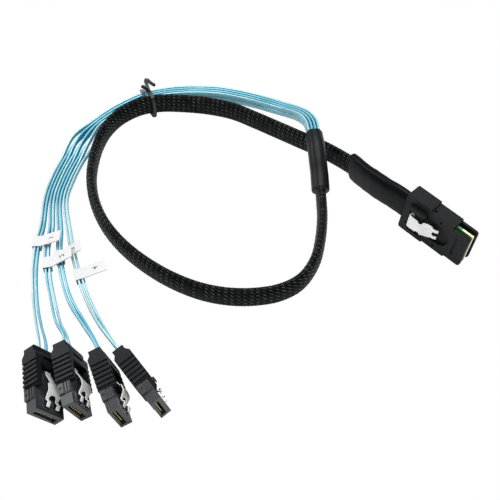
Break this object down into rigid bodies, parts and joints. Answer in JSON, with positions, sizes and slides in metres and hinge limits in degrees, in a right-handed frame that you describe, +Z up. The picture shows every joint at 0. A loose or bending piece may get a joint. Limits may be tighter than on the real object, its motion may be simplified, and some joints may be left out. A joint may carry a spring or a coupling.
{
  "type": "mini sas breakout cable",
  "caption": "Breakout cable: a wide latching edge-card plug, a flat braided sleeve and thin blue ribbons that fan out to latching seven-contact drive plugs.",
  "frame": {"origin": "on the table, below the middle of the five plugs' common box", "axes": "+Z up from the table, +Y the way from the drive plugs to the host plug, +X the way that the host plug's mouth faces"},
  "size_m": [0.1897, 0.1997, 0.023],
  "materials": {
    "host_plastic": "fine matt moulded black plastic",
    "hood_plastic": "matt moulded black plastic",
    "receptacle_plastic": "satin dark grey plastic",
    "inner_mould": "dull black moulding",
    "steel": "bright spring steel",
    "gold": "gold plated",
    "board": "green solder mask",
    "shrink": "satin black heat-shrink",
    "braid": "black monofilament braid",
    "tie_plastic": "black plastic over wire",
    "ribbon_film": "light blue film with a silvery sheen",
    "label_paper": "matt white label"
  },
  "bodies": {
    "cable": {"host_plug_near_shell": "host_plastic", "host_plug_back_shell": "host_plastic", "host_plug_card": "board", "host_plug_inner_mould": "inner_mould", "flat_shrink": "shrink", "braided_sleeve": "braid", "round_shrink": "shrink", "ribbon_1a": "ribbon_film", "ribbon_1b": "ribbon_film", "ribbon_2a": "ribbon_film", "ribbon_2b": "ribbon_film", "ribbon_3a": "ribbon_film", "ribbon_3b": "ribbon_film", "ribbon_4a": "ribbon_film", "ribbon_4b": "ribbon_film", "label_1": "label_paper", "label_2": "label_paper", "label_3": "label_paper", "label_4": "label_paper", "twist_tie": "tie_plastic", "drive_plug_1_hood": "hood_plastic", "drive_plug_1_receptacle": "receptacle_plastic", "drive_plug_1_contacts": "gold", "drive_plug_2_hood": "hood_plastic", "drive_plug_2_receptacle": "receptacle_plastic", "drive_plug_2_contacts": "gold", "drive_plug_3_hood": "hood_plastic", "drive_plug_3_receptacle": "receptacle_plastic", "drive_plug_3_contacts": "gold", "drive_plug_4_hood": "hood_plastic", "drive_plug_4_receptacle": "receptacle_plastic", "drive_plug_4_contacts": "gold"},
    "host_latch": {"host_plug_latch": "steel"},
    "drive_latch_1": {"drive_plug_1_latch": "steel"},
    "drive_latch_2": {"drive_plug_2_latch": "steel"},
    "drive_latch_3": {"drive_plug_3_latch": "steel"},
    "drive_latch_4": {"drive_plug_4_latch": "steel"}
  },
  "joints": [
    {"name": "host_latch_press", "type": "hinge", "parent": "cable", "child": "host_latch", "pos_m": [0.01639, 0.08682, 0.01165], "axis": [0.0913, 0, 0.9958], "range_deg": [0, 4], "stiffness_Nm_per_rad": 0.05},
    {"name": "drive_latch_1_press", "type": "hinge", "parent": "cable", "child": "drive_latch_1", "pos_m": [-0.03334, -0.07603, 0.00845], "axis": [0.3067, 0.4796, -0.8221], "range_deg": [0, 4], "stiffness_Nm_per_rad": 0.05},
    {"name": "drive_latch_2_press", "type": "hinge", "parent": "cable", "child": "drive_latch_2", "pos_m": [-0.02749, -0.06756, 0.00817], "axis": [0.1679, 0.3092, -0.9361], "range_deg": [0, 4], "stiffness_Nm_per_rad": 0.05},
    {"name": "drive_latch_3_press", "type": "hinge", "parent": "cable", "child": "drive_latch_3", "pos_m": [-0.01553, -0.05967, 0.00789], "axis": [0.0941, 0.2284, -0.969], "range_deg": [0, 4], "stiffness_Nm_per_rad": 0.05},
    {"name": "drive_latch_4_press", "type": "hinge", "parent": "cable", "child": "drive_latch_4", "pos_m": [-0.00972, -0.05083, 0.00788], "axis": [0.0339, 0.2412, -0.9699], "range_deg": [0, 4], "stiffness_Nm_per_rad": 0.05}
  ]
}
